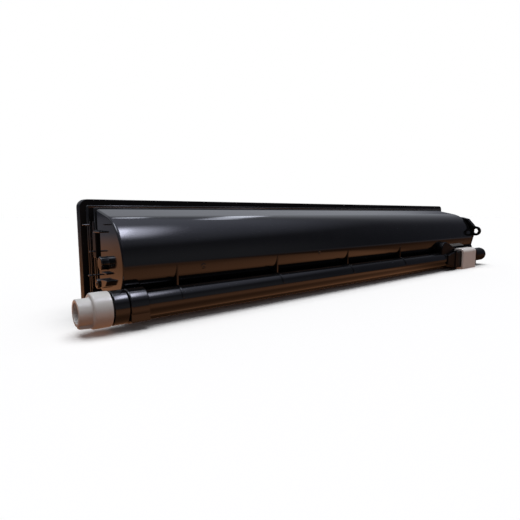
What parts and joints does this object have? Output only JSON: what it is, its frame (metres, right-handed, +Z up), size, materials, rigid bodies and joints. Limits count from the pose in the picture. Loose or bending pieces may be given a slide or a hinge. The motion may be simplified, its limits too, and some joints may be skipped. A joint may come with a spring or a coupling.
{
  "type": "toner cartridge",
  "caption": "Long black toner cartridge for an office copier: curved hopper with a flat lid, auger channel, drive coupling, agitator gears and a sliding outlet shutter.",
  "frame": {"origin": "middle of the footprint, on the surface that the cartridge lies on", "axes": "+X along the cartridge from the drive end to the outlet end, +Y from the auger channel to the lid, +Z up as it lies in its picture"},
  "size_m": [0.4862, 0.0622, 0.0735],
  "materials": {
    "black_plastic": "glossy moulded",
    "lid_plastic": "glossy moulded",
    "grey_plastic": "satin moulded",
    "pale_plastic": "satin moulded",
    "natural_plastic": "natural acetal",
    "film": "clear film",
    "foam": "closed-cell foam",
    "steel": "zinc plated"
  },
  "bodies": {
    "housing": {"hopper_tub": "black_plastic", "hopper_lid": "lid_plastic", "drive_end_collar": "black_plastic", "auger_bush_drive_end": "natural_plastic", "auger_seal_drive_end": "foam", "auger_seal_outlet_end": "foam", "auger_bush_outlet_end": "natural_plastic", "agitator_seal": "foam", "agitator_bush": "natural_plastic", "idler_pin": "steel", "gear_cover": "black_plastic", "gear_cover_screws": "steel", "outlet_seal": "foam"},
    "auger": {"auger_screw": "natural_plastic", "drive_coupling": "grey_plastic", "thrust_washer": "steel", "auger_gear": "natural_plastic"},
    "agitator": {"agitator_frame": "natural_plastic", "agitator_film": "film", "agitator_gear": "natural_plastic"},
    "idler": {"idler_gear": "natural_plastic"},
    "shutter": {"outlet_shutter": "pale_plastic"}
  },
  "joints": [
    {"name": "auger_spin", "type": "hinge", "parent": "housing", "child": "auger", "pos_m": [0, -0.02025, 0.013], "axis": [1, 0, 0], "continuous": true},
    {"name": "idler_spin", "type": "hinge", "parent": "housing", "child": "idler", "pos_m": [0.219, -0.00534, 0.01932], "axis": [1, 0, 0], "continuous": true},
    {"name": "agitator_spin", "type": "hinge", "parent": "housing", "child": "agitator", "pos_m": [0, 0.00575, 0.035], "axis": [1, 0, 0], "continuous": true},
    {"name": "shutter_slide", "type": "slide", "parent": "housing", "child": "shutter", "axis": [-1, 0, 0], "range_m": [0, 0.0125]}
  ],
  "couplings": [
    {"joint": "idler_spin", "follows": "agitator_spin", "ratio": -0.77778},
    {"joint": "auger_spin", "follows": "agitator_spin", "ratio": 1.5556}
  ]
}
